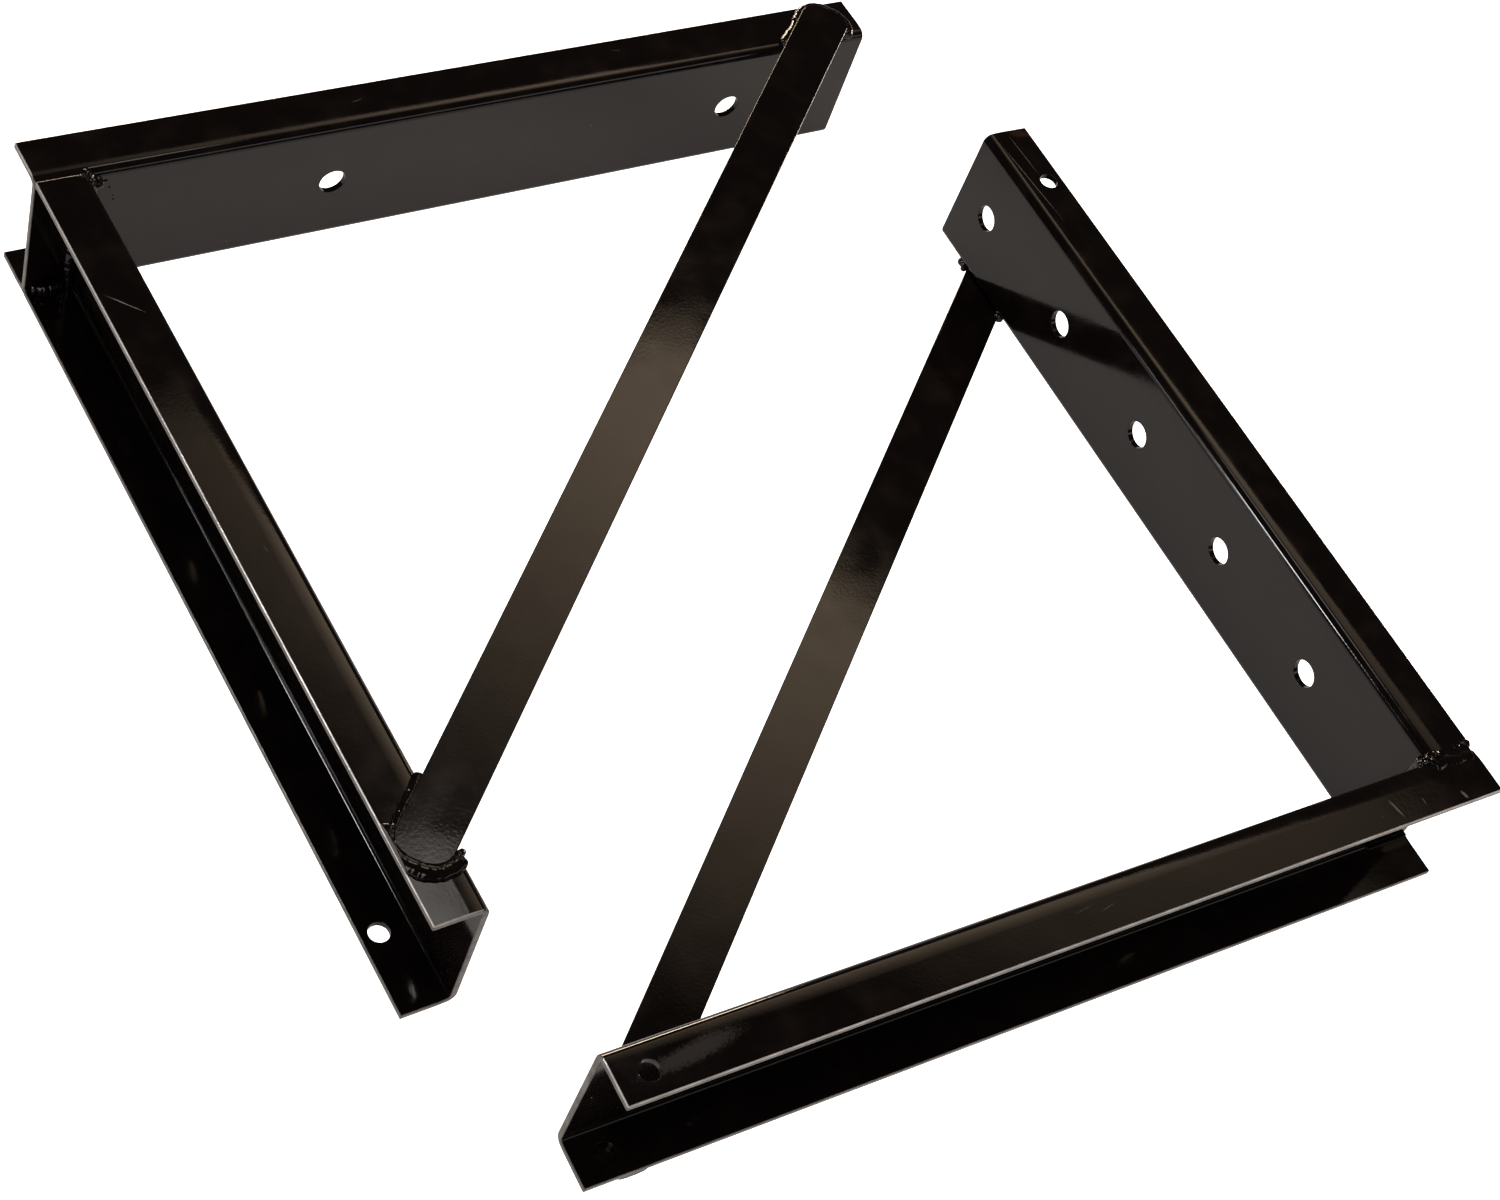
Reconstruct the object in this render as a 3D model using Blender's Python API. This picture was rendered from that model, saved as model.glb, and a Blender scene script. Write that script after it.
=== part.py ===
"""Pair of welded steel roof brackets, left and right hand, lying on their sides.

Each bracket is two formed channels welded at a square corner, with a flat bar brace welded
across one side face. Bracket coordinates: origin at the inner corner on the side face away
from the brace, +X along the arm, -Y along the leg, +Z towards the brace. Metres.
"""

import math

import bmesh
import bpy
from mathutils import Matrix, Vector

INCH = 0.0254

# Channels, formed from one thickness of sheet. Flanges point away from the triangle.
SHEET = 3 / 16 * INCH
WEB_HEIGHT = 4.375 * INCH
FLANGE_WIDTH = 1.5 * INCH
BEND_RADIUS = 5 / 16 * INCH
ARM_REACH = 25.5 * INCH
LEG_REACH = 24.0 * INCH

# Holes
WEB_HOLE_DIAMETER = 13 / 16 * INCH
FLANGE_HOLE_DIAMETER = 9 / 16 * INCH
LEG_HOLE_COUNT = 5
LEG_HOLE_PITCH = 4.5 * INCH
ARM_END_HOLE_SETBACK = 4.5 * INCH
ARM_HOLE_SPACING = 13.5 * INCH
ARM_FLANGE_HOLE_SETBACK = 0.875 * INCH
LEG_FLANGE_HOLE_SETBACK = 2.25 * INCH
LEG_FLANGE_HOLE_OFFSET = 1.0 * INCH

# Flat bar brace, with its two tips set back from the members' ends and free edges
BRACE_WIDTH = 1.5 * INCH
BRACE_THICKNESS = 3 / 16 * INCH
BRACE_CORNER_RADIUS = 0.010
ARM_TIP_SETBACK = 0.0204
ARM_TIP_EDGE_INSET = 0.0118
LEG_TIP_SETBACK = 0.0422
LEG_TIP_EDGE_INSET = 0.0083

# Welds, and the clearance kept between any two pieces
GAP = 0.0003
BRACE_BEAD_RADIUS = 0.0022
WEB_BEAD_RADIUS = 0.0040
FLANGE_BEAD_RADIUS = 0.0032
TACK_RADIUS = 0.0035
TACK_LENGTH = 0.014
GROOVE_OVERLAP = 0.0035
GROOVE_CROWN = 0.0015
BEAD_END_MARGIN = 0.0025

# How the pair lies: the second bracket's inner corner and turn, seen from the first
PARTNER_X = 0.660
PARTNER_Y = -0.739
PARTNER_TURN = math.radians(178)

ARC_STEPS = 6
HOLE_STEPS = 32

ENAMEL_COLOUR = (0.006, 0.006, 0.006, 1.0)
ENAMEL_ROUGHNESS = 0.22
WELD_ROUGHNESS = 0.30


def clear_scene():
    for obj in list(bpy.data.objects):
        bpy.data.objects.remove(obj)


def painted_steel(name, roughness):
    """Gloss black enamel over steel."""
    material = bpy.data.materials.new(name)
    material.use_nodes = True
    shader = material.node_tree.nodes["Principled BSDF"]
    shader.inputs["Base Color"].default_value = ENAMEL_COLOUR
    shader.inputs["Roughness"].default_value = roughness
    shader.inputs["Metallic"].default_value = 0.0
    return material


def add_object(name, data, parent, material):
    obj = bpy.data.objects.new(name, data)
    bpy.context.scene.collection.objects.link(obj)
    obj.parent = parent
    obj.data.materials.append(material)
    return obj


def arc(centre, radius, start, end, steps=ARC_STEPS):
    """Points on a circular arc, with the angles in degrees."""
    points = []
    for step in range(steps + 1):
        angle = math.radians(start + (end - start) * step / steps)
        points.append((centre[0] + radius * math.cos(angle), centre[1] + radius * math.sin(angle)))
    return points


def prism(outline, direction):
    """A closed mesh: the outline, a list of 3-D points, extruded along direction."""
    bm = bmesh.new()
    face = bm.faces.new([bm.verts.new(point) for point in outline])
    extruded = bmesh.ops.extrude_face_region(bm, geom=[face])["geom"]
    moved = [item for item in extruded if isinstance(item, bmesh.types.BMVert)]
    bmesh.ops.translate(bm, verts=moved, vec=direction)
    bmesh.ops.recalc_face_normals(bm, faces=bm.faces)
    mesh = bpy.data.meshes.new("prism")
    bm.to_mesh(mesh)
    bm.free()
    return mesh


def smooth_round_faces(mesh):
    mesh.shade_smooth()
    mesh.set_sharp_from_angle(angle=math.radians(35))


def channel_section():
    """The C section as (out from the web's inner face, height) pairs."""
    low = (BEND_RADIUS, BEND_RADIUS)
    high = (BEND_RADIUS, WEB_HEIGHT - BEND_RADIUS)
    inner = BEND_RADIUS - SHEET
    outside = [(FLANGE_WIDTH, WEB_HEIGHT)] + arc(high, BEND_RADIUS, 90, 180)
    outside += arc(low, BEND_RADIUS, 180, 270) + [(FLANGE_WIDTH, 0.0)]
    inside = [(FLANGE_WIDTH, SHEET)] + arc(low, inner, 270, 180)
    inside += arc(high, inner, 180, 90) + [(FLANGE_WIDTH, WEB_HEIGHT - SHEET)]
    return outside + inside


def hole_cutter(name, holes, parent):
    """One hidden cutter holding a cylinder for each (centre, axis, diameter, length)."""
    bm = bmesh.new()
    for centre, axis, diameter, length in holes:
        turn = Vector((0, 0, 1)).rotation_difference(Vector(axis)).to_matrix().to_4x4()
        bmesh.ops.create_cone(
            bm, cap_ends=True, segments=HOLE_STEPS, radius1=diameter / 2, radius2=diameter / 2,
            depth=length, matrix=Matrix.Translation(centre) @ turn,
        )
    mesh = bpy.data.meshes.new(name)
    bm.to_mesh(mesh)
    bm.free()
    cutter = bpy.data.objects.new(name, mesh)
    bpy.context.scene.collection.objects.link(cutter)
    cutter.parent = parent
    cutter.hide_render = True
    cutter.display_type = "WIRE"
    return cutter


def cut(obj, cutter):
    modifier = obj.modifiers.new("holes", "BOOLEAN")
    modifier.operation = "DIFFERENCE"
    modifier.object = cutter


def arm_hole_places():
    """Distances along the arm of its two web holes."""
    outer = ARM_REACH - ARM_END_HOLE_SETBACK
    return [outer - ARM_HOLE_SPACING, outer]


def leg_hole_places():
    """Distances along the leg of its web holes."""
    return [LEG_HOLE_PITCH * (index + 1) for index in range(LEG_HOLE_COUNT)]


def arm_channel(hand, parent, material):
    """Runs right through the corner, to the free edge of the leg's flanges."""
    outline = [(-FLANGE_WIDTH, out, height) for out, height in channel_section()]
    mesh = prism(outline, (ARM_REACH + FLANGE_WIDTH, 0, 0))
    smooth_round_faces(mesh)
    obj = add_object(hand + "_arm_channel", mesh, parent, material)
    middle = WEB_HEIGHT / 2
    holes = [((x, SHEET / 2, middle), (0, 1, 0), WEB_HOLE_DIAMETER, 4 * SHEET) for x in arm_hole_places()]
    flange_middle = (SHEET + FLANGE_WIDTH) / 2
    place = (ARM_REACH - ARM_FLANGE_HOLE_SETBACK, flange_middle, middle)
    holes.append((place, (0, 0, 1), FLANGE_HOLE_DIAMETER, WEB_HEIGHT + 4 * SHEET))
    cut(obj, hole_cutter(hand + "_arm_holes", holes, parent))


def leg_channel(hand, parent, material):
    """Butts against the inner face of the arm's web."""
    outline = [(-out, -GAP, height) for out, height in channel_section()]
    mesh = prism(outline, (0, GAP - LEG_REACH, 0))
    smooth_round_faces(mesh)
    obj = add_object(hand + "_leg_channel", mesh, parent, material)
    middle = WEB_HEIGHT / 2
    holes = [((-SHEET / 2, -y, middle), (1, 0, 0), WEB_HOLE_DIAMETER, 4 * SHEET) for y in leg_hole_places()]
    place = (-LEG_FLANGE_HOLE_OFFSET, LEG_FLANGE_HOLE_SETBACK - LEG_REACH, middle)
    holes.append((place, (0, 0, 1), FLANGE_HOLE_DIAMETER, WEB_HEIGHT + 4 * SHEET))
    cut(obj, hole_cutter(hand + "_leg_holes", holes, parent))


class BraceLine:
    """The brace's own axes: along from the middle of its length, and across to the outer side."""

    def __init__(self):
        arm_tip = Vector((ARM_REACH - ARM_TIP_SETBACK, FLANGE_WIDTH - ARM_TIP_EDGE_INSET))
        leg_tip = Vector((LEG_TIP_EDGE_INSET - FLANGE_WIDTH, LEG_TIP_SETBACK - LEG_REACH))
        self.middle = (arm_tip + leg_tip) / 2
        self.half_length = (arm_tip - leg_tip).length / 2
        self.along = (arm_tip - leg_tip).normalized()
        self.across = Vector((-self.along.y, self.along.x))

    def point(self, along, across, height):
        """Across is positive on the side nearer the corner."""
        plan = self.middle + self.along * along + self.across * across
        return (plan.x, plan.y, height)


def tip_corner(half_length, half_width, radius, side):
    """Outline points round one corner of the brace's arm end. Side 1 is nearer the bracket's corner."""
    centre = (half_length - radius, side * (half_width - radius))
    sweep = (90, 0) if side > 0 else (0, -90)
    return arc(centre, radius, *sweep)


def brace_bar(hand, parent, material):
    """Flat bar on the side face of both channels, with its corners ground round."""
    line = BraceLine()
    ends = (line.half_length, BRACE_WIDTH / 2, BRACE_CORNER_RADIUS)
    tip = tip_corner(*ends, 1) + tip_corner(*ends, -1)
    outline = tip + [(-along, -across) for along, across in tip]
    height = WEB_HEIGHT + GAP
    mesh = prism([line.point(along, across, height) for along, across in outline], (0, 0, BRACE_THICKNESS))
    smooth_round_faces(mesh)
    add_object(hand + "_brace_bar", mesh, parent, material)


def bead(name, points, radius, parent, material):
    """A round weld bead along a path."""
    curve = bpy.data.curves.new(name, "CURVE")
    curve.dimensions = "3D"
    curve.bevel_depth = radius
    curve.bevel_resolution = 2
    curve.use_fill_caps = True
    spline = curve.splines.new("POLY")
    spline.points.add(len(points) - 1)
    for target, point in zip(spline.points, points):
        target.co = (*point, 1.0)
    return add_object(name, curve, parent, material)


def brace_beads(hand, parent, material):
    """Four fillets round the brace's tips: one along a side and one round the end, at each member."""
    line = BraceLine()
    radius = BRACE_BEAD_RADIUS
    stand_off = GAP + radius
    height = WEB_HEIGHT + stand_off
    side = BRACE_WIDTH / 2 + stand_off
    half = line.half_length
    corner = BRACE_CORNER_RADIUS + stand_off

    # The side fillets lie over the flat of each flange, clear of the bend and of the free edge.
    def along_where(axis, value):
        """Where the corner-side fillet crosses a line in the bracket's plan."""
        start = line.middle + line.across * side
        return (value - start[axis]) / line.along[axis]

    margin = BEAD_END_MARGIN + radius
    arm_side = [along_where(1, margin), along_where(1, FLANGE_WIDTH - margin)]
    leg_side = [along_where(0, margin - FLANGE_WIDTH), along_where(0, -margin)]
    for member, span in (("arm", arm_side), ("leg", leg_side)):
        points = [line.point(along, side, height) for along in span]
        bead(f"{hand}_brace_weld_{member}_side", points, radius, parent, material)

    reach = half + stand_off
    tip = [(reach, BRACE_WIDTH / 8)] + tip_corner(reach, side, corner, -1)
    for member, sign in (("arm", 1), ("leg", -1)):
        points = [line.point(sign * along, across, height) for along, across in tip]
        bead(f"{hand}_brace_weld_{member}_end", points, radius, parent, material)


def groove_weld(name, at_brace_side, crown, parent, material):
    """Fills the groove between the end of the leg's flange and the arm's rounded bend."""
    root = WEB_HEIGHT - SHEET + 2 * GAP
    surface = WEB_HEIGHT + GAP if crown else WEB_HEIGHT
    bend = (BEND_RADIUS, WEB_HEIGHT - BEND_RADIUS)
    clear = BEND_RADIUS + GAP
    root_angle = 180 - math.degrees(math.asin((root - bend[1]) / clear))
    top_angle = 90 if crown else 180 - math.degrees(math.asin((surface - bend[1]) / clear))
    section = arc(bend, clear, root_angle, top_angle)
    if crown:
        low, high = -GROOVE_OVERLAP, BEND_RADIUS + GROOVE_OVERLAP
        for step in range(ARC_STEPS + 1):
            share = step / ARC_STEPS
            rise = crown * math.sin(math.pi * share)
            section.append((high + (low - high) * share, surface + rise))
        section.append((0.0, surface))
    else:
        section.append((0.0, surface))
    section.append((0.0, root))
    heights = [height if at_brace_side else WEB_HEIGHT - height for _, height in section]
    outline = [(-FLANGE_WIDTH, across, height) for (across, _), height in zip(section, heights)]
    mesh = prism(outline, (FLANGE_WIDTH, 0, 0))
    smooth_round_faces(mesh)
    add_object(name, mesh, parent, material)


def corner_beads(hand, parent, material):
    """Fillets inside the leg's channel, and a tack at each end of the inner corner."""
    stand_off = GAP + WEB_BEAD_RADIUS
    x = -SHEET - stand_off
    ends = (BEND_RADIUS + GAP, WEB_HEIGHT - BEND_RADIUS - GAP)
    points = [(x, -stand_off, height) for height in ends]
    bead(hand + "_corner_weld_web", points, WEB_BEAD_RADIUS, parent, material)

    flange_off = GAP + FLANGE_BEAD_RADIUS
    near = x - WEB_BEAD_RADIUS - GAP
    far = BEAD_END_MARGIN - FLANGE_WIDTH
    points = [(end, -flange_off, SHEET + flange_off) for end in (near, far)]
    bead(hand + "_corner_weld_flange", points, FLANGE_BEAD_RADIUS, parent, material)

    tack_off = GAP + TACK_RADIUS
    for side, top in (("brace", True), ("far", False)):
        heights = [BEND_RADIUS + GAP, BEND_RADIUS + GAP + TACK_LENGTH]
        if top:
            heights = [WEB_HEIGHT - height for height in heights]
        points = [(tack_off, -tack_off, height) for height in heights]
        bead(f"{hand}_corner_tack_{side}_side", points, TACK_RADIUS, parent, material)


def bracket(hand, parent, far_crown, plate, weld):
    arm_channel(hand, parent, plate)
    leg_channel(hand, parent, plate)
    brace_bar(hand, parent, plate)
    brace_beads(hand, parent, weld)
    groove_weld(hand + "_corner_weld_brace_side", True, 0.0, parent, weld)
    groove_weld(hand + "_corner_weld_far_side", False, far_crown, parent, weld)
    corner_beads(hand, parent, weld)


def flip_hand():
    """Turns bracket coordinates over, so that the brace is underneath and just touches z = 0."""
    lift = WEB_HEIGHT + GAP + BRACE_THICKNESS
    return Matrix.Translation((0, 0, lift)) @ Matrix.Diagonal((1, 1, -1, 1))


def plan_corners(matrix):
    xs, ys = (-FLANGE_WIDTH, ARM_REACH), (-LEG_REACH, FLANGE_WIDTH)
    points = [(xs[0], ys[1]), (xs[1], ys[1]), (xs[0], ys[0]), (0.0, ys[0]), (xs[1], 0.0)]
    return [matrix @ Vector((x, y, 0)) for x, y in points]


def hand_empty(name, matrix):
    empty = bpy.data.objects.new(name, None)
    bpy.context.scene.collection.objects.link(empty)
    empty.matrix_world = matrix
    return empty


def build():
    clear_scene()
    plate = painted_steel("gloss_black_enamel_plate", ENAMEL_ROUGHNESS)
    weld = painted_steel("gloss_black_enamel_weld", WELD_ROUGHNESS)

    partner = Matrix.Translation((PARTNER_X, PARTNER_Y, 0)) @ Matrix.Rotation(PARTNER_TURN, 4, "Z")
    corners = plan_corners(Matrix.Identity(4)) + plan_corners(partner)
    middle_x = (min(p.x for p in corners) + max(p.x for p in corners)) / 2
    middle_y = (min(p.y for p in corners) + max(p.y for p in corners)) / 2
    to_origin = Matrix.Translation((-middle_x, -middle_y, 0))

    left = hand_empty("left_bracket", to_origin)
    right = hand_empty("right_bracket", to_origin @ partner @ flip_hand())
    bpy.context.view_layer.update()
    bracket("left", left, 0.0, plate, weld)
    bracket("right", right, GROOVE_CROWN, plate, weld)


build()
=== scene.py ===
"""Pair of welded steel roof brackets, one left and one right hand, lying on their sides.

Each bracket is two folded channels, an arm and a leg, welded at a square corner and tied by a flat bar.
Pieces are shaped in bracket coordinates: the inner corner is the origin, the arm runs along +X, the leg
along -Y, and the side that carries the brace is up. Each is then set down where its bracket lies.
"""

import math
import random

import bmesh
import bpy
from mathutils import Matrix, Vector


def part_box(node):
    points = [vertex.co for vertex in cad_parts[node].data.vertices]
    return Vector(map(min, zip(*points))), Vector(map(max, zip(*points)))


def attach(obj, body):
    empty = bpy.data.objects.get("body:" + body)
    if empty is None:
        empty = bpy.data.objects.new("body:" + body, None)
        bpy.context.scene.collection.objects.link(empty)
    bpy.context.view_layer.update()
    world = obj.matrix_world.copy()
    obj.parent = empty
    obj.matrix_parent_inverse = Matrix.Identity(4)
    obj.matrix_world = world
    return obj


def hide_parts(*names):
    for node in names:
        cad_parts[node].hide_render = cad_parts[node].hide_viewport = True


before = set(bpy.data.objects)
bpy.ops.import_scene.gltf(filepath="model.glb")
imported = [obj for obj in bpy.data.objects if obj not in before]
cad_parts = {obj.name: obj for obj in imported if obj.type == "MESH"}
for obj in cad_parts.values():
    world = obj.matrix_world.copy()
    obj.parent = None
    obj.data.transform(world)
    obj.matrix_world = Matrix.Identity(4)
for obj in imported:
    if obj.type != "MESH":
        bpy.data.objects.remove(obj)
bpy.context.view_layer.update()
HANDS = ("left", "right")


# ---------------------------------------------------------------------------------------- arm channels
# The arm of each bracket is 3/16 in sheet, punched flat and folded to a channel in a press brake.
# It runs right through the corner, so its end shows as an open section beside the leg.
# Sprayed after welding, so that the paint film rounds every sheared edge and hole rim.

arm_low, arm_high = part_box("left_arm_channel")
leg_low, leg_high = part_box("left_leg_channel")
ARM_LENGTH, FLANGE_WIDTH, WEB_HEIGHT = arm_high - arm_low
LEG_LENGTH = leg_high.y - leg_low.y
JOINT_GAP = arm_low.y - leg_high.y
SHEET = 0.0047625
BEND_OFFSET = 0.0062
BEND_SEGMENTS = 10
LEAD_IN = 0.0115  # how far from the web the flange starts to dip
LEAD_IN_OFFSET = 0.0030
LEAD_IN_TURN = math.radians(6)
EDGE_RADIUS = 0.0008
RIM_RADIUS = 0.00035
DOUBLE_GAP = 1e-6
SHARP = math.radians(50)
HOLE_SEGMENTS = 56
BOLT_HOLE = 0.0206375
FLANGE_HOLE = 0.0142875
ARM_BOLT_HOLES = (0.1905, 0.5334)
ARM_FLANGE_HOLE = (0.625475, 0.02143125)


def bracket_place(hand):
    """The matrix that sets bracket coordinates down where this hand's CAD channels lie."""
    middles = []
    for member in ("arm", "leg"):
        low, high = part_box(f"{hand}_{member}_channel")
        middles.append((low + high) / 2)
    own_arm = Vector((ARM_LENGTH / 2 - FLANGE_WIDTH, FLANGE_WIDTH / 2, WEB_HEIGHT / 2))
    own_leg = Vector((-FLANGE_WIDTH / 2, -JOINT_GAP - LEG_LENGTH / 2, WEB_HEIGHT / 2))
    lies, own = middles[1] - middles[0], own_leg - own_arm
    turn = math.atan2(lies.y, lies.x) - math.atan2(own.y, own.x)
    brace_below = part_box(f"{hand}_brace_bar")[0].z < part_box(f"{hand}_arm_channel")[0].z
    flip = Matrix.Diagonal((1, 1, -1 if brace_below else 1, 1))
    place = Matrix.Translation(middles[0]) @ Matrix.Rotation(turn, 4, "Z") @ flip
    return place @ Matrix.Translation(-own_arm)


def fold_channel(length):
    """A channel along +X with its outer web face on y = 0: the folded line drawn out, then thickened inwards.

    The brake's nose is blunt, so the flange starts to dip a little way before the bend proper.
    """
    bm = bmesh.new()
    dip = LEAD_IN * math.tan(LEAD_IN_TURN)
    outline = (
        (FLANGE_WIDTH, 0.0), (LEAD_IN, 0.0), (0.0, dip),
        (0.0, WEB_HEIGHT - dip), (LEAD_IN, WEB_HEIGHT), (FLANGE_WIDTH, WEB_HEIGHT),
    )
    corners = [bm.verts.new((0.0, out, height)) for out, height in outline]
    for start, end in zip(corners, corners[1:]):
        bm.edges.new((start, end))
    for turned, offset, segments in (((2, 3), BEND_OFFSET, BEND_SEGMENTS), ((1, 4), LEAD_IN_OFFSET, 4)):
        bmesh.ops.bevel(
            bm, geom=[corners[k] for k in turned], offset=offset, offset_type="OFFSET", segments=segments,
            profile=0.5, affect="VERTICES", material=-1,
        )
    drawn = bmesh.ops.extrude_edge_only(bm, edges=bm.edges[:])["geom"]
    bmesh.ops.translate(bm, verts=[v for v in drawn if isinstance(v, bmesh.types.BMVert)], vec=(length, 0, 0))
    bmesh.ops.recalc_face_normals(bm, faces=bm.faces[:])
    web = max(bm.faces, key=lambda face: abs(face.normal.y) * face.calc_area())
    if web.normal.y > 0:
        bmesh.ops.reverse_faces(bm, faces=bm.faces[:])
    bmesh.ops.solidify(bm, geom=bm.faces[:], thickness=SHEET)
    bmesh.ops.recalc_face_normals(bm, faces=bm.faces[:])
    return bm


def loose_object(name, bm):
    mesh = bpy.data.meshes.new(name)
    bm.to_mesh(mesh)
    bm.free()
    obj = bpy.data.objects.new(name, mesh)
    bpy.context.scene.collection.objects.link(obj)
    return obj


def with_modifier(bm, kind, **settings):
    """The mesh after one modifier, with the object that carried it taken away again."""
    carrier = loose_object("carrier", bm)
    modifier = carrier.modifiers.new(kind, kind)
    for name, value in settings.items():
        setattr(modifier, name, value)
    graph = bpy.context.evaluated_depsgraph_get()
    shaped = bmesh.new()
    shaped.from_object(carrier, graph)
    bpy.data.meshes.remove(carrier.data)
    return shaped


def punch(bm, holes):
    """Cuts round holes, each given as its centre, axis, diameter and depth."""
    tool = bmesh.new()
    for centre, axis, diameter, depth in holes:
        turn = Vector((0, 0, 1)).rotation_difference(Vector(axis)).to_matrix().to_4x4()
        bmesh.ops.create_cone(
            tool, cap_ends=True, segments=HOLE_SEGMENTS, radius1=diameter / 2, radius2=diameter / 2,
            depth=depth, matrix=Matrix.Translation(centre) @ turn,
        )
    cutter = loose_object("punch", tool)
    punched = with_modifier(bm, "BOOLEAN", operation="DIFFERENCE", solver="EXACT", object=cutter)
    bpy.data.meshes.remove(cutter.data)
    return punched


def ease_edges(bm, radius, holes=()):
    """Rounds every sharp edge, or only the rims of these holes, as the paint film does."""
    bmesh.ops.remove_doubles(bm, verts=bm.verts[:], dist=DOUBLE_GAP)
    sharp = [edge for edge in bm.edges if edge.calc_face_angle(0) > SHARP]
    if holes:
        middles = [(edge, sum((v.co for v in edge.verts), Vector()) / 2) for edge in sharp]
        sharp = [
            edge for edge, middle in middles for centre, axis, diameter, _ in holes
            if (middle - Vector(centre)).cross(axis).length < 0.51 * diameter
        ]
    bmesh.ops.bevel(
        bm, geom=sharp, offset=radius, offset_type="OFFSET", segments=4, profile=0.5,
        affect="EDGES", clamp_overlap=False, material=-1,
    )


def srgb(code):
    """A hex colour as linear red, green, blue and alpha."""
    shares = [int(code[i:i + 2], 16) / 255 for i in (1, 3, 5)]
    return (*[s / 12.92 if s <= 0.04045 else ((s + 0.055) / 1.055) ** 2.4 for s in shares], 1.0)


def add_node(tree, kind, inputs=None, **settings):
    """Adds a node. Each input is a value, or another node's socket to link from."""
    node = tree.nodes.new(kind)
    for name, value in settings.items():
        setattr(node, name, value)
    for name, value in (inputs or {}).items():
        if isinstance(value, bpy.types.NodeSocket):
            tree.links.new(value, node.inputs[name])
        else:
            node.inputs[name].default_value = value
    return node


def black_enamel(name, roughness, peel, marks=()):
    """Sprayed gloss black enamel over steel: deep black, sharp reflections, faint orange peel and dust.

    Each mark is a rubbed or rusty place: its centre, its run, its half length and half width, its colour
    and how well it covers.
    """
    material = bpy.data.materials.new(name)
    material.use_nodes = True
    tree = material.node_tree
    shader = tree.nodes["Principled BSDF"]
    shader.inputs["IOR"].default_value = 1.41
    position = add_node(tree, "ShaderNodeTexCoord").outputs["Object"]

    # Orange peel is a ripple of 2 to 3 mm, and the film sags gently over a few centimetres.
    ripple = add_node(tree, "ShaderNodeTexNoise", {"Vector": position, "Scale": 420.0, "Detail": 1.0})
    sway = add_node(tree, "ShaderNodeTexNoise", {"Vector": position, "Scale": 22.0, "Detail": 1.0})
    peel_bump = add_node(
        tree, "ShaderNodeBump",
        {"Strength": peel, "Distance": 0.0001, "Height": ripple.outputs["Fac"]},
    )
    film = add_node(
        tree, "ShaderNodeBump",
        {"Strength": 0.25, "Distance": 0.0006, "Height": sway.outputs["Fac"],
         "Normal": peel_bump.outputs["Normal"]},
    )
    tree.links.new(film.outputs["Normal"], shader.inputs["Normal"])

    # Handling leaves the gloss hazy in clouds, and grey dust sits in specks under a millimetre across.
    cloud = add_node(tree, "ShaderNodeTexNoise", {"Vector": position, "Scale": 35.0, "Detail": 4.0})
    haze = add_node(
        tree, "ShaderNodeMapRange",
        {"Value": cloud.outputs["Fac"], "From Min": 0.35, "From Max": 0.75,
         "To Min": roughness * 0.8, "To Max": roughness * 1.6},
    )
    smear = add_node(
        tree, "ShaderNodeMapRange",
        {"Value": cloud.outputs["Fac"], "From Min": 0.48, "From Max": 0.72, "To Min": 0.0, "To Max": 1.0},
    )
    colour = add_node(
        tree, "ShaderNodeMix",
        {"Factor": smear.outputs["Result"], 6: srgb("#0e0a09"), 7: srgb("#181311")}, data_type="RGBA",
    ).outputs[2]
    specks = add_node(tree, "ShaderNodeTexVoronoi", {"Vector": position, "Scale": 75.0})
    picked = add_node(tree, "ShaderNodeSeparateColor", {"Color": specks.outputs["Color"]})
    size = add_node(
        tree, "ShaderNodeMapRange",
        {"Value": picked.outputs["Red"], "From Min": 0.80, "From Max": 1.0, "To Min": 0.0, "To Max": 0.034},
    )
    dull = add_node(
        tree, "ShaderNodeMath", {0: specks.outputs["Distance"], 1: size.outputs["Result"]},
        operation="LESS_THAN",
    ).outputs["Value"]
    colour = add_node(
        tree, "ShaderNodeMix", {"Factor": dull, 6: colour, 7: srgb("#a29d97")}, data_type="RGBA",
    ).outputs[2]

    # A mark is a soft-ended lens round its own run, broken up by fine noise.
    grain = add_node(tree, "ShaderNodeTexNoise", {"Vector": position, "Scale": 900.0, "Detail": 2.0})
    for centre, run, half_length, half_width, code, cover in marks:
        turned = add_node(
            tree, "ShaderNodeMapping",
            {"Vector": position, "Location": centre, "Rotation": (0, 0, math.atan2(run[1], run[0])),
             "Scale": (half_length, half_width, max(half_width, 0.003))}, vector_type="TEXTURE",
        )
        away = add_node(tree, "ShaderNodeVectorMath", {0: turned.outputs["Vector"]}, operation="LENGTH")
        rough_edge = add_node(
            tree, "ShaderNodeMath", {0: grain.outputs["Fac"], 1: 0.9, 2: away.outputs["Value"]},
            operation="MULTIPLY_ADD",
        )
        rubbed = add_node(
            tree, "ShaderNodeMapRange",
            {"Value": rough_edge.outputs["Value"], "From Min": 1.35, "From Max": 0.85,
             "To Min": 0.0, "To Max": cover},
        ).outputs["Result"]
        colour = add_node(
            tree, "ShaderNodeMix", {"Factor": rubbed, 6: colour, 7: srgb(code)}, data_type="RGBA",
        ).outputs[2]
        dull = add_node(tree, "ShaderNodeMath", {0: dull, 1: rubbed}, operation="MAXIMUM").outputs["Value"]
    tree.links.new(colour, shader.inputs["Base Color"])
    matt = add_node(
        tree, "ShaderNodeMath", {0: dull, 1: 0.5, 2: haze.outputs["Result"]}, operation="MULTIPLY_ADD",
    )
    tree.links.new(matt.outputs["Value"], shader.inputs["Roughness"])
    return material


places = {hand: bracket_place(hand) for hand in HANDS}

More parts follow.
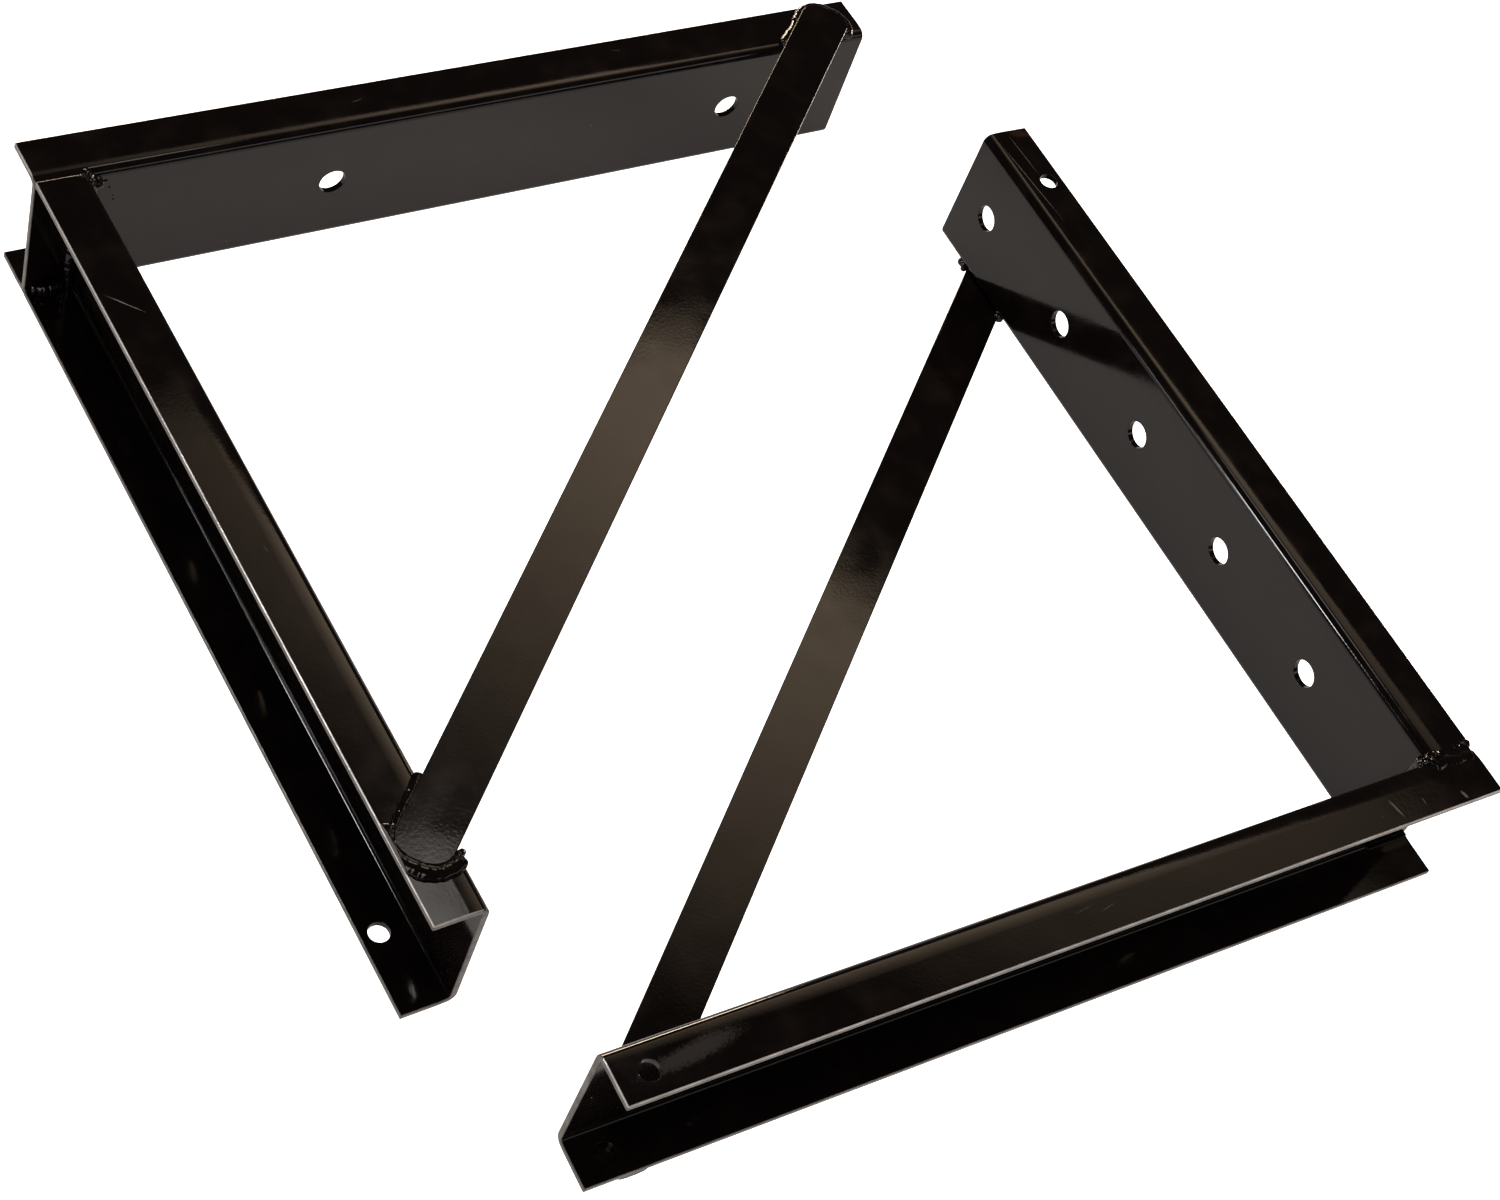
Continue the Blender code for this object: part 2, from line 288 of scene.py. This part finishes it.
# Marks in bracket coordinates: a scratch, fine lines, rubbed scuffs, a trace of rust and a dusty patch.
MARKS = {
    "left": (
        ((-0.0224, -0.1179, WEB_HEIGHT), (22.1, -23.3), 0.0165, 0.00048, "#8f8a83", 0.95),
        ((-0.0250, -0.1150, WEB_HEIGHT), (22.1, -25.3), 0.0050, 0.00050, "#a19c95", 0.95),
        ((-0.0180, -0.3300, WEB_HEIGHT), (1.0, -6.0), 0.0050, 0.00035, "#4d4945", 0.8),
        ((0.2100, 0.0220, WEB_HEIGHT), (5.0, 1.0), 0.0060, 0.00035, "#4d4945", 0.8),
        ((0.4300, 0.0270, WEB_HEIGHT), (4.0, -1.0), 0.0050, 0.00035, "#4d4945", 0.7),
    ),
    "right": (
        ((0.0513, 0.0251, 0.0), (-4.4, 19.2), 0.0100, 0.0013, "#6f675f", 0.85),
        ((0.0272, 0.0266, 0.0), (0.3, 7.4), 0.0042, 0.0006, "#5c554e", 0.85),
        ((-0.0064, 0.0320, 0.0), (-2.5, 7.6), 0.0045, 0.0017, "#756c63", 0.85),
        ((0.2959, 0.0221, 0.0), (-15.6, -3.0), 0.0085, 0.00045, "#4f4a44", 0.85),
        ((0.3120, 0.0180, 0.0), (-15.6, -2.0), 0.0110, 0.00040, "#47423c", 0.70),
        ((-0.0195, -0.5830, 0.0), (0.5, -10.0), 0.0290, 0.00042, "#6f665c", 0.9),
        ((-0.0100, -0.5560, 0.0), (0.8, -10.0), 0.0520, 0.00042, "#7b7166", 0.9),
        ((-0.0420, -0.5960, 0.0), (1.0, -9.0), 0.0160, 0.0090, "#5a2a12", 0.34),
        ((-0.0300, -0.6040, 0.0), (6.0, -1.0), 0.0140, 0.0055, "#4a2a18", 0.30),
        ((0.5950, 0.0200, 0.0), (9.0, 1.0), 0.0450, 0.0080, "#2b2724", 0.55),
    ),
}


def marks_of(hand):
    """This bracket's marks, moved to where the bracket lies."""
    moved = []
    for centre, run, *rest in MARKS[hand]:
        turn = places[hand].to_3x3() @ Vector((*run, 0)).normalized()
        moved.append((places[hand] @ Vector(centre), turn, *rest))
    return moved


plate_enamel = {
    hand: black_enamel(f"gloss_black_enamel_on_{hand}_plate", 0.085, 0.20, marks_of(hand)) for hand in HANDS
}


# Sheared edges take the paint thinly and read grey, made lighter still as a painted highlight, and their
# outer corners are rubbed nearly bare and coloured near white as a painted highlight of the lamps.
def worn_enamel_and_highlight(name, painted, worn_and_highlight, roughness, bare=0.0):
    """Black enamel thin along an edge, in patches a few millimetres long where a lighter colour shows: part
    rubbed-through grey, part painted highlight.

    The share of bare steel makes the edge glint.
    """
    material = bpy.data.materials.new(name)
    material.use_nodes = True
    tree = material.node_tree
    shader = tree.nodes["Principled BSDF"]
    shader.inputs["IOR"].default_value = 1.5
    shader.inputs["Roughness"].default_value = roughness
    shader.inputs["Metallic"].default_value = bare
    position = add_node(tree, "ShaderNodeTexCoord").outputs["Object"]
    wear_and_highlight = add_node(tree, "ShaderNodeTexNoise", {"Vector": position, "Scale": 60.0, "Detail": 6.0})
    cover = add_node(
        tree, "ShaderNodeMapRange",
        {"Value": wear_and_highlight.outputs["Fac"], "From Min": 0.35, "From Max": 0.65, "To Min": 0.0, "To Max": 1.0},
    )
    colour = add_node(
        tree, "ShaderNodeMix", {"Factor": cover.outputs["Result"], 6: srgb(painted), 7: srgb(worn_and_highlight)},
        data_type="RGBA",
    )
    tree.links.new(colour.outputs[2], shader.inputs["Base Color"])
    return material


# Painted highlight: the grey sheared edges and near-white corners stand partly for the reflection of floor
# and lamps.
edge_enamels_and_highlights = (
    worn_enamel_and_highlight("thin_enamel_with_painted_highlight_on_sheared_edge", "#4a4744", "#85817c", 0.24),
    worn_enamel_and_highlight("outer_corner_rubbed_with_painted_highlight", "#c4c0bb", "#efece8", 0.34, 0.55),
)


END_FACE_DEPTH = 0.0004


def thin_paint_and_highlight_on_edges(bm, length, start_shows=True):
    """Gives sheared ends and free edges the second material, grey with a painted highlight, and their outer
    corners the third, near white as a painted highlight.

    The channel still lies along +X. Its start keeps its enamel where it butts against the other channel.
    """
    for face in bm.faces:
        at = face.calc_center_median()
        from_end = min(at.x, length - at.x) if start_shows else length - at.x
        from_edge = FLANGE_WIDTH - at.y
        outside = min(at.z, WEB_HEIGHT - at.z) < EDGE_RADIUS
        if outside and min(from_edge, from_end) < EDGE_RADIUS:
            face.material_index = 2
        elif min(from_edge, from_end) < END_FACE_DEPTH:
            face.material_index = 1


def set_down(bm, name, hand, nodes, slot, *materials):
    """Sets a mesh down in its bracket's place, as the piece that stands for these CAD nodes."""
    bmesh.ops.transform(bm, matrix=places[hand], verts=bm.verts[:])
    if places[hand].determinant() < 0:
        bmesh.ops.reverse_faces(bm, faces=bm.faces[:])
    for face in bm.faces:
        face.smooth = True
    piece = loose_object(name, bm)
    for material in materials:
        piece.data.materials.append(material)
    even = piece.modifiers.new("even_normals", "WEIGHTED_NORMAL")
    even.weight = 80
    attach(piece, hand + "_bracket")
    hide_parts(*nodes)
    return piece


MID_WEB = WEB_HEIGHT / 2

for hand in HANDS:
    arm = fold_channel(ARM_LENGTH)
    ease_edges(arm, EDGE_RADIUS)
    thin_paint_and_highlight_on_edges(arm, ARM_LENGTH)
    bmesh.ops.translate(arm, verts=arm.verts[:], vec=(-FLANGE_WIDTH, 0, 0))
    holes = [((x, 0, MID_WEB), (0, 1, 0), BOLT_HOLE, 4 * SHEET) for x in ARM_BOLT_HOLES]
    holes.append(((*ARM_FLANGE_HOLE, MID_WEB), (0, 0, 1), FLANGE_HOLE, 1.2 * WEB_HEIGHT))
    arm = punch(arm, holes)
    ease_edges(arm, RIM_RADIUS, holes)
    set_down(
        arm, hand + "_arm", hand, [hand + "_arm_channel"],
        "enamelled_plate", plate_enamel[hand], *edge_enamels_and_highlights,
    )


# ---------------------------------------------------------------------------------------- leg channels
# The leg is folded from the same sheet. It is sawn square and butts against the arm's inner web face,
# with five bolt holes down its web and one hole near the foot of each flange.

LEG_BOLT_PITCH = 0.1143
LEG_FLANGE_HOLE = (-0.0254, -0.55245)

for hand in HANDS:
    leg = fold_channel(LEG_LENGTH)
    ease_edges(leg, EDGE_RADIUS)
    thin_paint_and_highlight_on_edges(leg, LEG_LENGTH, start_shows=False)
    bmesh.ops.rotate(leg, verts=leg.verts[:], cent=(0, 0, 0), matrix=Matrix.Rotation(-math.pi / 2, 3, "Z"))
    bmesh.ops.scale(leg, verts=leg.verts[:], vec=(-1, 1, 1))
    bmesh.ops.reverse_faces(leg, faces=leg.faces[:])
    bmesh.ops.translate(leg, verts=leg.verts[:], vec=(0, -JOINT_GAP, 0))
    holes = [((0, -LEG_BOLT_PITCH * k, MID_WEB), (1, 0, 0), BOLT_HOLE, 4 * SHEET) for k in range(1, 6)]
    holes.append(((*LEG_FLANGE_HOLE, MID_WEB), (0, 0, 1), FLANGE_HOLE, 1.2 * WEB_HEIGHT))
    leg = punch(leg, holes)
    ease_edges(leg, RIM_RADIUS, holes)
    set_down(
        leg, hand + "_leg", hand, [hand + "_leg_channel"],
        "enamelled_plate", plate_enamel[hand], *edge_enamels_and_highlights,
    )


# ------------------------------------------------------------------------------------------ brace bars
# The brace is 1-1/2 x 3/16 in flat bar, cut to length, its corners ground round, and laid across the
# side of both channels.

brace_low, brace_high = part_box("left_brace_bar")
BRACE_WIDTH = 0.0381
BRACE_THICKNESS = brace_high.z - brace_low.z
BRACE_CORNER = 0.010
GROUND_CORNER = 0.0150
GROUND_SEGMENTS = 10
BAR_EDGE_RADIUS = 0.0006

# The bar's slope and length follow from its box, less the round corners.
spread = brace_high - brace_low - Vector((2 * BRACE_CORNER, 2 * BRACE_CORNER, 0))
narrow = BRACE_WIDTH - 2 * BRACE_CORNER
slope = math.atan2(spread.y, spread.x)
for _ in range(30):
    slope = math.atan2(spread.y - narrow * math.cos(slope), spread.x - narrow * math.sin(slope))
straight = math.hypot(spread.y - narrow * math.cos(slope), spread.x - narrow * math.sin(slope))
BRACE_LENGTH = straight + 2 * BRACE_CORNER
brace_place = places["left"].inverted() @ Matrix.Translation((brace_low + brace_high) / 2)
brace_place = brace_place @ Matrix.Rotation(slope, 4, "Z")

for hand in HANDS:
    bar = bmesh.new()
    bmesh.ops.create_cube(bar, size=1)
    bmesh.ops.scale(bar, verts=bar.verts[:], vec=(BRACE_LENGTH, BRACE_WIDTH, BRACE_THICKNESS))
    upright = [e for e in bar.edges if abs(e.verts[0].co.z - e.verts[1].co.z) > 0.9 * BRACE_THICKNESS]
    bmesh.ops.bevel(
        bar, geom=upright, offset=GROUND_CORNER, offset_type="OFFSET", segments=GROUND_SEGMENTS, profile=0.5,
        affect="EDGES", clamp_overlap=False, material=-1,
    )
    ease_edges(bar, BAR_EDGE_RADIUS)
    bmesh.ops.transform(bar, matrix=brace_place, verts=bar.verts[:])
    set_down(bar, hand + "_brace", hand, [hand + "_brace_bar"], "enamelled_plate", plate_enamel[hand])


# --------------------------------------------------------------------------------------------- welds
# Hand-run fillet welds in mild steel wire. Each pass is a row of overlapping drops, left as laid and
# painted over, so the enamel is thick and glossy on them.

weld_enamel = black_enamel("gloss_black_enamel_on_weld", 0.06, 0.05)
WELD_VOXEL = 0.0005
DROP_PITCH = 0.0011
DROP_LENGTH = 0.0021
TOE = 0.0003


def lay_bead(bm, path, across, height, dice, wobble=0.12):
    """Lays closely overlapping drops of weld along a path of points, swelling and thinning slowly."""
    points = [Vector(point) for point in path]
    swell = drift = 0.0
    for start, end in zip(points, points[1:]):
        run = end - start
        count = max(1, round(run.length / DROP_PITCH))
        facing = run.normalized()
        up = Vector((0, 0, 1)) if abs(facing.z) < 0.9 else Vector((1, -1, 0)).normalized()
        side = up.cross(facing).normalized()
        up = facing.cross(side)
        axes = Matrix((facing, side, up)).transposed().to_4x4()
        for step in range(count + 1):
            swell = 0.82 * swell + 0.45 * wobble * dice.uniform(-1, 1)
            drift = 0.82 * drift + 0.45 * wobble * dice.uniform(-1, 1)
            size = Matrix.Diagonal((DROP_LENGTH, across * (1 + swell), height * (1 + 0.7 * swell), 1))
            centre = start + run * (step / count) + side * across * drift
            drop = Matrix.Translation(centre) @ axes @ size
            bmesh.ops.create_icosphere(bm, subdivisions=2, radius=1, matrix=drop)


def lay_lump(bm, centre, reach, count, radius, dice):
    """Piles rounded globs of weld round a point."""
    for _ in range(count):
        place = Vector(centre) + Vector([r * dice.uniform(-1, 1) for r in reach])
        size = Matrix.Diagonal((*[radius * dice.uniform(0.6, 1.1) for _ in range(3)], 1))
        lean = Matrix.Rotation(dice.uniform(0, 3), 4, "X") @ Matrix.Rotation(dice.uniform(0, 3), 4, "Z")
        glob = Matrix.Translation(place) @ lean @ size
        bmesh.ops.create_icosphere(bm, subdivisions=2, radius=1, matrix=glob)


def fuse(bm, passes=3):
    """Runs the drops into one closed skin."""
    fused = with_modifier(bm, "REMESH", mode="VOXEL", voxel_size=WELD_VOXEL)
    for _ in range(passes):
        bmesh.ops.smooth_vert(
            fused, verts=fused.verts[:], factor=0.5, use_axis_x=True, use_axis_y=True, use_axis_z=True,
        )
    return fused


def keep_within(bm, low, top):
    """Presses a weld flat where it would stand outside the bracket's own outline."""
    for vert in bm.verts:
        vert.co.x = max(vert.co.x, -FLANGE_WIDTH + TOE)
        vert.co.y = max(min(vert.co.y, FLANGE_WIDTH - TOE), -LEG_LENGTH)
        vert.co.z = max(min(vert.co.z, top), low)
    return bm


def spatter(bm, centre, reach, count, dice):
    """Little balls of weld thrown on to the sheet round a weld."""
    for _ in range(count):
        place = Vector(centre) + Vector([r * dice.uniform(-1, 1) for r in reach])
        bmesh.ops.create_icosphere(
            bm, subdivisions=1, radius=dice.uniform(0.0004, 0.0009), matrix=Matrix.Translation(place),
        )


def brace_point(along, across, height):
    """A point by the brace: along from its middle, across towards the corner, up from the flange."""
    point = brace_place @ Vector((along, across, 0))
    return Vector((point.x, point.y, WEB_HEIGHT + height))


def along_at(axis, value, across):
    """How far along the brace a line beside it reaches this x (axis 0) or y (axis 1)."""
    start, step = brace_point(0, across, 0), brace_point(1, across, 0) - brace_point(0, across, 0)
    return (value - start[axis]) / step[axis]


BRACE_GAP = 0.0003
BRACE_TOP = WEB_HEIGHT + BRACE_GAP + BRACE_THICKNESS
HALF_BRACE, BRACE_SIDE = BRACE_LENGTH / 2, BRACE_WIDTH / 2
BEAD_LIFT = 0.0004
QUARTER_TURN = (90, 75, 60, 45, 30, 15, 0)
HALF_TURN = [(1, angle) for angle in QUARTER_TURN] + [(-1, -angle) for angle in reversed(QUARTER_TURN)]

# The beads at each end of the brace: the member, the axis that its side bead is measured along and where
# that bead starts and stops, then the end bead's stop, its distance off the bar and its half width.
BRACE_BEADS = (
    ("arm", 1, 0.003, FLANGE_WIDTH - 0.006, 0.005, 0.0012, 0.0048),
    ("leg", 0, -FLANGE_WIDTH + 0.007, -0.001, -0.0055, 0.0026, 0.0072),
)

for number, hand in enumerate(HANDS):
    dice = random.Random(20 + number)
    weld_top = BRACE_TOP - 0.0002
    weld_low = TOE if hand == "left" else -0.0016

    for member, axis, start, end, stop, beyond, half_width in BRACE_BEADS:
        sign = 1 if member == "arm" else -1
        run = bmesh.new()
        across = BRACE_SIDE + 0.0006
        path = [brace_point(along_at(axis, value, across), across, BEAD_LIFT) for value in (start, end)]
        lay_bead(run, path, 0.0046, 0.0042, dice, 0.2)
        run = keep_within(fuse(run), TOE, weld_top)
        set_down(
            run, f"{hand}_{member}_side_weld", hand, [f"{hand}_brace_weld_{member}_side"],
            "enamelled_weld", weld_enamel,
        )
        run = bmesh.new()
        far_side = along_at(axis, stop, -BRACE_SIDE)
        reach = GROUND_CORNER + beyond
        path = []
        for side, angle in HALF_TURN:
            turn = math.radians(angle)
            path.append((
                HALF_BRACE - GROUND_CORNER + reach * math.cos(turn),
                side * (BRACE_SIDE - GROUND_CORNER) + reach * math.sin(turn),
            ))
        path.append((max(abs(far_side), HALF_BRACE - 0.024), -BRACE_SIDE - 0.0008))
        path = [brace_point(sign * along, across, BEAD_LIFT) for along, across in path]
        lay_bead(run, path, half_width, 0.0044, dice, 0.09)
        run = keep_within(fuse(run, 9), TOE, weld_top)
        set_down(
            run, f"{hand}_{member}_end_weld", hand, [f"{hand}_brace_weld_{member}_end"],
            "enamelled_weld", weld_enamel,
        )

    # The seam across each side of the corner. The right bracket's upper one is left proud, and the others
    # are ground down a little below the flanges.
    for spot, top in (("brace", True), ("far", False)):
        outward = 1 if top else -1
        level = WEB_HEIGHT if top else 0.0
        proud = hand == "right" and not top
        run = bmesh.new()
        if proud:
            depth = level - outward * 0.0026
            path = [(-FLANGE_WIDTH + 0.005, 0.002, depth), (-0.001, 0.002, depth)]
            lay_bead(run, path, 0.0095, 0.0046, dice, 0.10)
            heap = (-FLANGE_WIDTH + 0.004, -0.001, level - outward * 0.002)
            lay_lump(run, heap, (0.002, 0.004, 0.001), 5, 0.0036, dice)
            run = keep_within(fuse(run, 5), weld_low, WEB_HEIGHT)
        else:
            depth = level - outward * 0.0040
            path = [(-FLANGE_WIDTH + 0.0015, 0.0028, depth), (-0.001, 0.0028, depth)]
            lay_bead(run, path, 0.0058, 0.0080, dice, 0.02)
            ground, root = level - outward * 0.0006, level - outward * (SHEET + 0.0015)
            run = keep_within(fuse(run), min(ground, root), max(ground, root))
        set_down(
            run, f"{hand}_corner_seam_{spot}_side", hand, [f"{hand}_corner_weld_{spot}_side"],
            "enamelled_weld", weld_enamel,
        )
        run = bmesh.new()
        lay_lump(run, (-0.002, -0.0008, level - outward * 0.0030), (0.0050, 0.0020, 0.0018), 5, 0.0042, dice)
        lay_lump(run, (0.0025, -0.0030, level - outward * 0.0060), (0.0035, 0.0025, 0.0030), 6, 0.0040, dice)
        path = [(0.0012, -0.0016, level - outward * 0.007), (0.0010, -0.0014, level - outward * 0.052)]
        lay_bead(run, path, 0.0068, 0.0060, dice, 0.14)
        run = keep_within(fuse(run, 2), weld_low, WEB_HEIGHT + 0.0030)
        spatter(run, (0.012, -0.0002, level - outward * 0.03), (0.010, 0.0, 0.02), 9, dice)
        set_down(
            run, f"{hand}_corner_lump_{spot}_side", hand, [f"{hand}_corner_tack_{spot}_side"],
            "enamelled_weld", weld_enamel,
        )

    # Inside the leg's channel, an upright fillet along the web and a flat one along the lower flange.
    run = bmesh.new()
    path = [(-SHEET - 0.0022, -0.0022, 0.006), (-SHEET - 0.0022, -0.0022, WEB_HEIGHT - 0.006)]
    lay_bead(run, path, 0.0052, 0.0048, dice)
    run = fuse(run)
    spatter(run, (-SHEET - 0.0002, -0.016, 0.05), (0.0, 0.010, 0.04), 8, dice)
    set_down(
        run, f"{hand}_corner_web_fillet", hand, [f"{hand}_corner_weld_web"], "enamelled_weld", weld_enamel,
    )
    run = bmesh.new()
    path = [(-SHEET - 0.007, -0.0025, SHEET + 0.001), (-FLANGE_WIDTH + 0.006, -0.0025, SHEET + 0.001)]
    lay_bead(run, path, 0.0050, 0.0046, dice, 0.2)
    run = fuse(run)
    spatter(run, (-0.024, -0.014, SHEET), (0.012, 0.008, 0.0), 8, dice)
    run = keep_within(run, TOE, WEB_HEIGHT)
    set_down(
        run, f"{hand}_corner_flange_fillet", hand, [f"{hand}_corner_weld_flange"],
        "enamelled_weld", weld_enamel,
    )


# ------------------------------------------------------------------------------------ floor and light
# A plain white floor that glows a little, a dim world, one wide light above that the gloss doesn't show,
# and softer lights round the pair that only the gloss shows.

FLOOR_HALF_SIZE = 12


def pale_floor(name, colour, glow_colour, glow_strength):
    """A flat matt floor that gives off a little light of its own."""
    sheet = bmesh.new()
    bmesh.ops.create_grid(sheet, x_segments=1, y_segments=1, size=FLOOR_HALF_SIZE)
    floor = loose_object(name, sheet)
    finish = bpy.data.materials.new(name + "_paint")
    finish.use_nodes = True
    paint = finish.node_tree.nodes["Principled BSDF"]
    paint.inputs["Base Color"].default_value = srgb(colour)
    paint.inputs["Roughness"].default_value = 0.9
    paint.inputs["Emission Color"].default_value = srgb(glow_colour)
    paint.inputs["Emission Strength"].default_value = glow_strength
    floor.data.materials.append(finish)
    return floor


# The eye sees a bright white floor. The gloss sees a dimmer one with real shadows, lying just on it.
SEEN_FLOOR_LEVEL = -0.0004
GLOSS_FLOOR_LEVEL = -0.0002
seen_floor = pale_floor("white_floor", "#d8d8d8", "#ffffff", 0.86)
seen_floor.visible_glossy = False
gloss_floor = pale_floor("floor_in_the_gloss", "#f4f2f0", "#fff8f4", 0.36)
gloss_floor.visible_camera = False
gloss_floor.visible_shadow = False
for vert in seen_floor.data.vertices:
    vert.co.z = SEEN_FLOOR_LEVEL
for vert in gloss_floor.data.vertices:
    vert.co.z = GLOSS_FLOOR_LEVEL

world = bpy.data.worlds.new("studio")
world.use_nodes = True
world.node_tree.nodes["Background"].inputs["Color"].default_value = srgb("#ffeee2")
world.node_tree.nodes["Background"].inputs["Strength"].default_value = 0.032
bpy.context.scene.world = world


def soft_light(name, centre, target, size, watts, colour, gloss_only=True):
    """A flat rectangular light facing its target, unseen by the camera."""
    lamp = bpy.data.lights.new(name, "AREA")
    lamp.shape = "RECTANGLE"
    lamp.size, lamp.size_y = size
    lamp.energy = watts
    lamp.color = srgb(colour)[:3]
    obj = bpy.data.objects.new(name, lamp)
    obj.location = centre
    obj.rotation_euler = (Vector(target) - Vector(centre)).to_track_quat("-Z", "Y").to_euler()
    obj.visible_camera = False
    obj.visible_diffuse = not gloss_only
    obj.visible_glossy = gloss_only
    bpy.context.scene.collection.objects.link(obj)
    return obj


# One wide light lights the floor and the rubbed places. The others show only in the gloss, as lines and
# glints.
soft_light("overhead_fill", (0, 0, 3.0), (0, 0, 0), (4.0, 4.0), 66, "#fff4f0", gloss_only=False)
soft_light("left_tube", (-2.1, 1.06, 0.20), (0.3, -0.1, 0.1), (0.45, 0.10), 2.2, "#ffffff")
soft_light("left_lamp", (-1.47, 0.60, 0.75), (-0.35, -0.1, 0.1), (0.28, 0.28), 9, "#ffffff")
soft_light("lamp_over_camera", (-1.25, -0.85, 2.0), (-0.36, -0.19, 0.1), (0.8, 0.8), 6.5, "#fff8f2")
soft_light("front_window", (-1.98, -1.5, 1.3), (-0.36, -0.19, 0.1), (0.9, 0.9), 9, "#fff8f2")
soft_light("front_strip", (1.0, -1.75, 0.95), (0.0, 0.3, 0.1), (3.0, 0.42), 5.2, "#ffffff")
soft_light("back_strip", (0.65, 2.3, 0.40), (0.2, 0.3, 0.1), (1.1, 0.35), 34, "#ffe6c8")
soft_light("right_strip", (2.5, 0.55, 0.30), (0.2, 0.3, 0.1), (0.5, 0.4), 26, "#fff4e8")
soft_light("high_spot", (0.31, 0.50, 2.0), (0.34, -0.2, 0.1), (0.40, 0.42), 1.6, "#fff8f0")

# The soft light's front, bright along its far edge and fading towards the camera.
SOFTBOX_HEIGHT = 1.7
SOFTBOX_OUTLINE = (
    (-0.01, 1.39), (1.135, 1.285), (1.29, 0.875), (1.76, 0.15),
    (1.995, -0.205), (1.575, -0.625), (-0.225, 1.175),
)
front = bmesh.new()
front.faces.new([front.verts.new((x, y, SOFTBOX_HEIGHT)) for x, y in SOFTBOX_OUTLINE])
front.normal_update()
for face in front.faces:
    if face.normal.z > 0:
        face.normal_flip()
softbox = loose_object("softbox_front", front)
glow = bpy.data.materials.new("softbox_cloth")
glow.use_nodes = True
tree = glow.node_tree
tree.nodes.remove(tree.nodes["Principled BSDF"])
place_on = add_node(
    tree, "ShaderNodeSeparateXYZ", {"Vector": add_node(tree, "ShaderNodeTexCoord").outputs["Object"]},
)
along_x, along_y = place_on.outputs["X"], place_on.outputs["Y"]
deep = add_node(tree, "ShaderNodeMath", {0: along_x, 1: along_y}, operation="ADD")
wide = add_node(tree, "ShaderNodeMath", {0: along_x, 1: along_y}, operation="SUBTRACT")
rise = add_node(
    tree, "ShaderNodeMapRange",
    {"Value": deep.outputs["Value"], "From Min": 0.98, "From Max": 2.10, "To Min": 0.0, "To Max": 2.4},
)
offset = add_node(tree, "ShaderNodeMath", {0: wide.outputs["Value"], 1: 0.15}, operation="SUBTRACT")
square = add_node(tree, "ShaderNodeMath", {0: offset.outputs["Value"], 1: 2.0}, operation="POWER")
scaled = add_node(tree, "ShaderNodeMath", {0: square.outputs["Value"], 1: -0.62}, operation="MULTIPLY")
fall = add_node(tree, "ShaderNodeMath", {0: scaled.outputs["Value"]}, operation="EXPONENT")
power = add_node(
    tree, "ShaderNodeMath", {0: rise.outputs["Result"], 1: fall.outputs["Value"]}, operation="MULTIPLY",
)
light = add_node(tree, "ShaderNodeEmission", {"Color": srgb("#ffe2c2"), "Strength": power.outputs["Value"]})
tree.links.new(light.outputs["Emission"], tree.nodes["Material Output"].inputs["Surface"])
softbox.data.materials.append(glow)
softbox.visible_camera = False
softbox.visible_shadow = False

# The camera looks down at the pair from the left front, with a slightly long lens.
camera_data = bpy.data.cameras.new("camera")
camera_data.lens = 64.452
camera_data.sensor_width = 36.0
camera_data.clip_start = 0.05
camera = bpy.data.objects.new("camera", camera_data)
camera.location = (-0.94887, -0.83305, 1.43126)
camera.rotation_euler = [math.radians(a) for a in (38.155, -16.031, -30.391)]
bpy.context.scene.collection.objects.link(camera)
bpy.context.scene.camera = camera
bpy.context.scene.view_settings.view_transform = "Standard"
